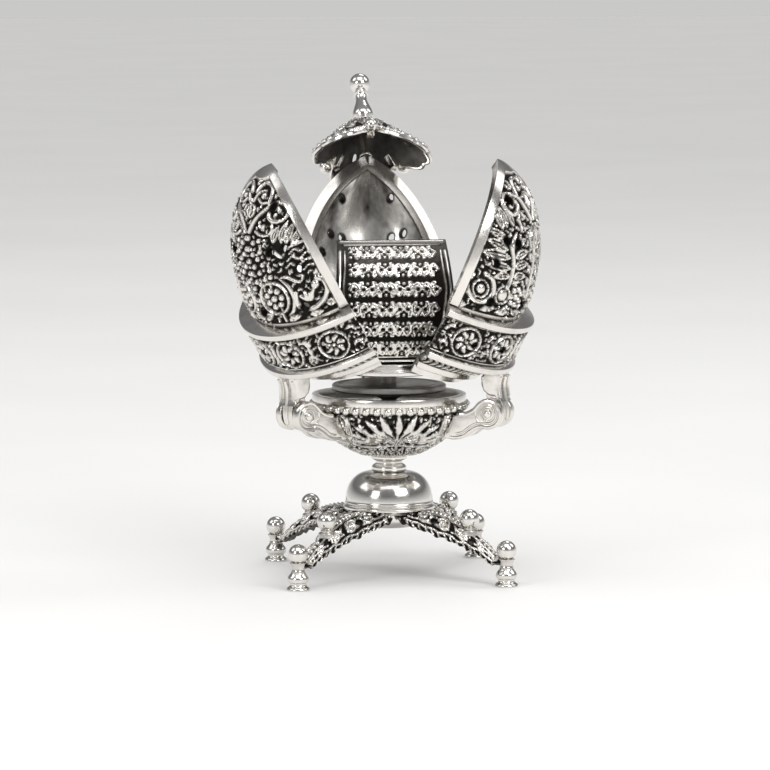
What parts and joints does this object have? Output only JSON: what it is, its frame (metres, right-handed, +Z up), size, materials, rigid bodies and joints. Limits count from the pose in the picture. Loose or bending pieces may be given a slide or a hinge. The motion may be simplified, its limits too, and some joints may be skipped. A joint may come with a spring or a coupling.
{
  "type": "hinged easter egg ornament on stand",
  "caption": "Silver easter egg whose petals swing open round a scroll plaque, with a crown on the back petal, over a pierced bowl, a domed neck and a filigree stand.",
  "frame": {"origin": "middle of the underside of the box round the open egg, level with the underside of the feet", "axes": "+Z up, -Y towards the open front between the side petals"},
  "size_m": [0.0398, 0.0504, 0.0648],
  "materials": {
    "polished_silver": "polished silver",
    "oxidised_silver": "cast silver, blackened in the recesses"
  },
  "bodies": {
    "base": {"stand_arm_front_left": "oxidised_silver", "foot_front_left": "polished_silver", "foot_ball_front_left": "polished_silver", "arm_ball_front_left": "polished_silver", "stand_arm_front_right": "oxidised_silver", "foot_front_right": "polished_silver", "foot_ball_front_right": "polished_silver", "arm_ball_front_right": "polished_silver", "stand_arm_back_right": "oxidised_silver", "foot_back_right": "polished_silver", "foot_ball_back_right": "polished_silver", "arm_ball_back_right": "polished_silver", "stand_arm_back_left": "oxidised_silver", "foot_back_left": "polished_silver", "foot_ball_back_left": "polished_silver", "arm_ball_back_left": "polished_silver", "stand_hub": "polished_silver", "stand_dome": "polished_silver", "neck": "polished_silver", "bowl": "oxidised_silver", "centre_post": "polished_silver", "inner_disc": "polished_silver", "plaque_plinth": "polished_silver", "scroll_plaque": "oxidised_silver", "bracket_left": "polished_silver", "hinge_pin_left": "polished_silver", "bracket_right": "polished_silver", "hinge_pin_right": "polished_silver", "bracket_back": "polished_silver", "hinge_pin_back": "polished_silver"},
    "petal_left": {"petal_left": "oxidised_silver"},
    "petal_right": {"petal_right": "oxidised_silver"},
    "petal_back": {"petal_back": "oxidised_silver", "crown_canopy": "oxidised_silver", "crown_pendant_1": "polished_silver", "crown_pendant_2": "polished_silver", "crown_pendant_3": "polished_silver", "finial": "polished_silver"}
  },
  "joints": [
    {"name": "petal_left_hinge", "type": "hinge", "parent": "base", "child": "petal_left", "pos_m": [-0.01174, -0.01482, 0.022], "axis": [0.5, -0.866, 0], "range_deg": [-33.3, 0]},
    {"name": "petal_right_hinge", "type": "hinge", "parent": "base", "child": "petal_right", "pos_m": [0.01389, -0.01482, 0.022], "axis": [0.5, 0.866, 0], "range_deg": [-26.8, 0]},
    {"name": "petal_back_hinge", "type": "hinge", "parent": "base", "child": "petal_back", "pos_m": [0.00108, 0.00738, 0.022], "axis": [-1, 0, 0], "range_deg": [-41, 0]}
  ]
}
